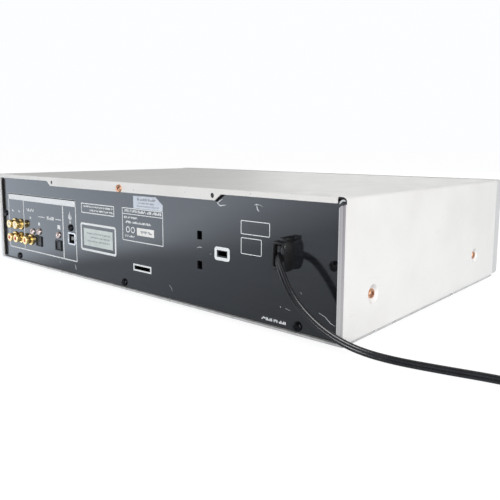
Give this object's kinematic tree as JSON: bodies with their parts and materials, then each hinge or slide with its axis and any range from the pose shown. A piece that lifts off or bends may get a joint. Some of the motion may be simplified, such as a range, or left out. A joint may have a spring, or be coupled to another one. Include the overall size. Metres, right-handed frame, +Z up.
{
  "type": "minidisc deck",
  "caption": "Full-width hi-fi minidisc recorder with a folded steel cover, a connector panel with phono, optical and data sockets, front keys, jog dial, disc slot and a coiled mains lead.",
  "frame": {"origin": "on the shelf under the middle of the deck, knobs and jacks included, cord left out", "axes": "+Z up, front panel faces -Y, connectors face +Y, +X to the right seen from the front"},
  "size_m": [0.6074, 0.306, 0.0955],
  "materials": {
    "cover_paint": "satin silver paint on folded steel",
    "chassis_steel": "plated steel sheet",
    "panel_black": "glossy black paint with white print",
    "front_finish": "satin silver front",
    "window_tint": "smoked clear plastic",
    "foot_rubber": "dull black rubber",
    "copper_screw": "copper plated steel",
    "black_screw": "black oxide steel",
    "zinc_screw": "zinc plated steel",
    "key_plastic": "satin silver plastic",
    "knob_metal": "turned aluminium",
    "black_plastic": "black moulded plastic",
    "gold_plate": "gold plated brass",
    "mech_steel": "plated steel",
    "rod_steel": "ground steel rod",
    "board_green": "circuit board with solder mask",
    "display_glass": "display tube glass",
    "core_iron": "stacked core sheets",
    "coil_copper": "varnished copper winding in tape",
    "can_plastic": "sleeved capacitor",
    "cord_plastic": "black flexible sheath",
    "pin_brass": "nickel plated pins"
  },
  "bodies": {
    "case": {"top_cover": "cover_paint", "bottom_chassis": "chassis_steel", "rear_panel": "panel_black", "front_panel": "front_finish", "display_window": "window_tint", "foot_front_left": "foot_rubber", "foot_front_right": "foot_rubber", "foot_rear_left": "foot_rubber", "foot_rear_right": "foot_rubber", "foot_screws": "zinc_screw", "cover_screws": "copper_screw", "rear_panel_screws": "black_screw", "jack_screws": "copper_screw", "headphone_socket": "black_plastic", "mechanism_frame": "mech_steel", "spindle_motor": "mech_steel", "guide_rods": "rod_steel", "sled_motor": "mech_steel", "main_board": "board_green", "power_board": "board_green", "front_board": "board_green", "display_module": "display_glass", "transformer_core": "core_iron", "transformer_coil": "coil_copper", "capacitors": "can_plastic", "rca_jack_block": "black_plastic", "jack_shells": "gold_plate", "coaxial_jack": "black_plastic", "optical_sockets": "black_plastic", "usb_port": "chassis_steel", "cord_gland": "black_plastic", "cord_lead": "cord_plastic", "cord_coil": "cord_plastic", "cord_tail": "cord_plastic", "cord_tie": "black_plastic", "plug_body": "cord_plastic", "plug_pins": "pin_brass"},
    "power_button": {"power_button": "key_plastic"},
    "eject_button": {"eject_button": "key_plastic"},
    "play_button": {"play_button": "key_plastic"},
    "pause_button": {"pause_button": "key_plastic"},
    "stop_button": {"stop_button": "key_plastic"},
    "back_button": {"back_button": "key_plastic"},
    "forward_button": {"forward_button": "key_plastic"},
    "menu_button": {"menu_button": "key_plastic"},
    "record_button": {"record_button": "key_plastic"},
    "disc_flap": {"disc_flap": "black_plastic"},
    "record_level_knob": {"record_level_knob": "knob_metal"},
    "phones_level_knob": {"phones_level_knob": "knob_metal"},
    "jog_shaft": {"jog_shaft": "rod_steel"},
    "jog_dial": {"jog_dial": "knob_metal"},
    "timer_switch": {"timer_switch": "black_plastic"},
    "disc_holder": {"disc_holder": "mech_steel"},
    "spindle_hub": {"spindle_hub": "rod_steel"},
    "optical_pickup": {"optical_pickup": "black_plastic"},
    "lead_screw": {"lead_screw": "rod_steel"},
    "magnetic_head_arm": {"magnetic_head_arm": "mech_steel"},
    "optical_shutter_in": {"optical_shutter_in": "black_plastic"},
    "optical_shutter_out": {"optical_shutter_out": "black_plastic"}
  },
  "joints": [
    {"name": "power_button_push", "type": "slide", "parent": "case", "child": "power_button", "axis": [0, 1, 0], "range_m": [0, 0.0006], "stiffness_N_per_m": 800},
    {"name": "eject_button_push", "type": "slide", "parent": "case", "child": "eject_button", "axis": [0, 1, 0], "range_m": [0, 0.0006], "stiffness_N_per_m": 800},
    {"name": "play_button_push", "type": "slide", "parent": "case", "child": "play_button", "axis": [0, 1, 0], "range_m": [0, 0.0006], "stiffness_N_per_m": 800},
    {"name": "pause_button_push", "type": "slide", "parent": "case", "child": "pause_button", "axis": [0, 1, 0], "range_m": [0, 0.0006], "stiffness_N_per_m": 800},
    {"name": "stop_button_push", "type": "slide", "parent": "case", "child": "stop_button", "axis": [0, 1, 0], "range_m": [0, 0.0006], "stiffness_N_per_m": 800},
    {"name": "back_button_push", "type": "slide", "parent": "case", "child": "back_button", "axis": [0, 1, 0], "range_m": [0, 0.0006], "stiffness_N_per_m": 800},
    {"name": "forward_button_push", "type": "slide", "parent": "case", "child": "forward_button", "axis": [0, 1, 0], "range_m": [0, 0.0006], "stiffness_N_per_m": 800},
    {"name": "menu_button_push", "type": "slide", "parent": "case", "child": "menu_button", "axis": [0, 1, 0], "range_m": [0, 0.0006], "stiffness_N_per_m": 800},
    {"name": "record_button_push", "type": "slide", "parent": "case", "child": "record_button", "axis": [0, 1, 0], "range_m": [0, 0.0006], "stiffness_N_per_m": 800},
    {"name": "flap_hinge", "type": "hinge", "parent": "case", "child": "disc_flap", "pos_m": [-0.02, -0.1312, 0.0835], "axis": [1, 0, 0], "range_deg": [0, 80], "stiffness_Nm_per_rad": 0.003},
    {"name": "record_level_turn", "type": "hinge", "parent": "case", "child": "record_level_knob", "pos_m": [0.178, -0.1355, 0.062], "axis": [0, -1, 0], "range_deg": [-150, 150]},
    {"name": "phones_level_turn", "type": "hinge", "parent": "case", "child": "phones_level_knob", "pos_m": [-0.16, -0.1355, 0.028], "axis": [0, -1, 0], "range_deg": [-150, 150]},
    {"name": "jog_push", "type": "slide", "parent": "case", "child": "jog_shaft", "axis": [0, 1, 0], "range_m": [0, 0.0006], "stiffness_N_per_m": 900},
    {"name": "jog_turn", "type": "hinge", "parent": "jog_shaft", "child": "jog_dial", "pos_m": [0.104, -0.1355, 0.066], "axis": [0, -1, 0], "continuous": true},
    {"name": "timer_slide", "type": "slide", "parent": "case", "child": "timer_switch", "axis": [1, 0, 0], "range_m": [-0.004, 0.004]},
    {"name": "holder_drop", "type": "slide", "parent": "case", "child": "disc_holder", "axis": [0, 0, -1], "range_m": [0, 0.006]},
    {"name": "spindle_turn", "type": "hinge", "parent": "case", "child": "spindle_hub", "pos_m": [-0.02, -0.0795, 0.0631], "axis": [0, 0, 1], "continuous": true},
    {"name": "sled_slide", "type": "slide", "parent": "case", "child": "optical_pickup", "axis": [0, 1, 0], "range_m": [0, 0.02]},
    {"name": "screw_turn", "type": "hinge", "parent": "case", "child": "lead_screw", "pos_m": [0.012, -0.0795, 0.0611], "axis": [0, 1, 0], "range_deg": [-10, 2410]},
    {"name": "head_lift", "type": "hinge", "parent": "case", "child": "magnetic_head_arm", "pos_m": [-0.02, -0.0385, 0.0849], "axis": [-1, 0, 0], "range_deg": [0, 6]},
    {"name": "shutter_in_hinge", "type": "hinge", "parent": "case", "child": "optical_shutter_in", "pos_m": [0.1386, 0.1363, 0.0332], "axis": [-1, 0, 0], "range_deg": [0, 80], "stiffness_Nm_per_rad": 0.0005},
    {"name": "shutter_out_hinge", "type": "hinge", "parent": "case", "child": "optical_shutter_out", "pos_m": [0.1024, 0.1363, 0.0332], "axis": [-1, 0, 0], "range_deg": [0, 80], "stiffness_Nm_per_rad": 0.0005}
  ],
  "couplings": [
    {"joint": "screw_turn", "follows": "sled_slide", "rad_per_m": 2094.4}
  ]
}
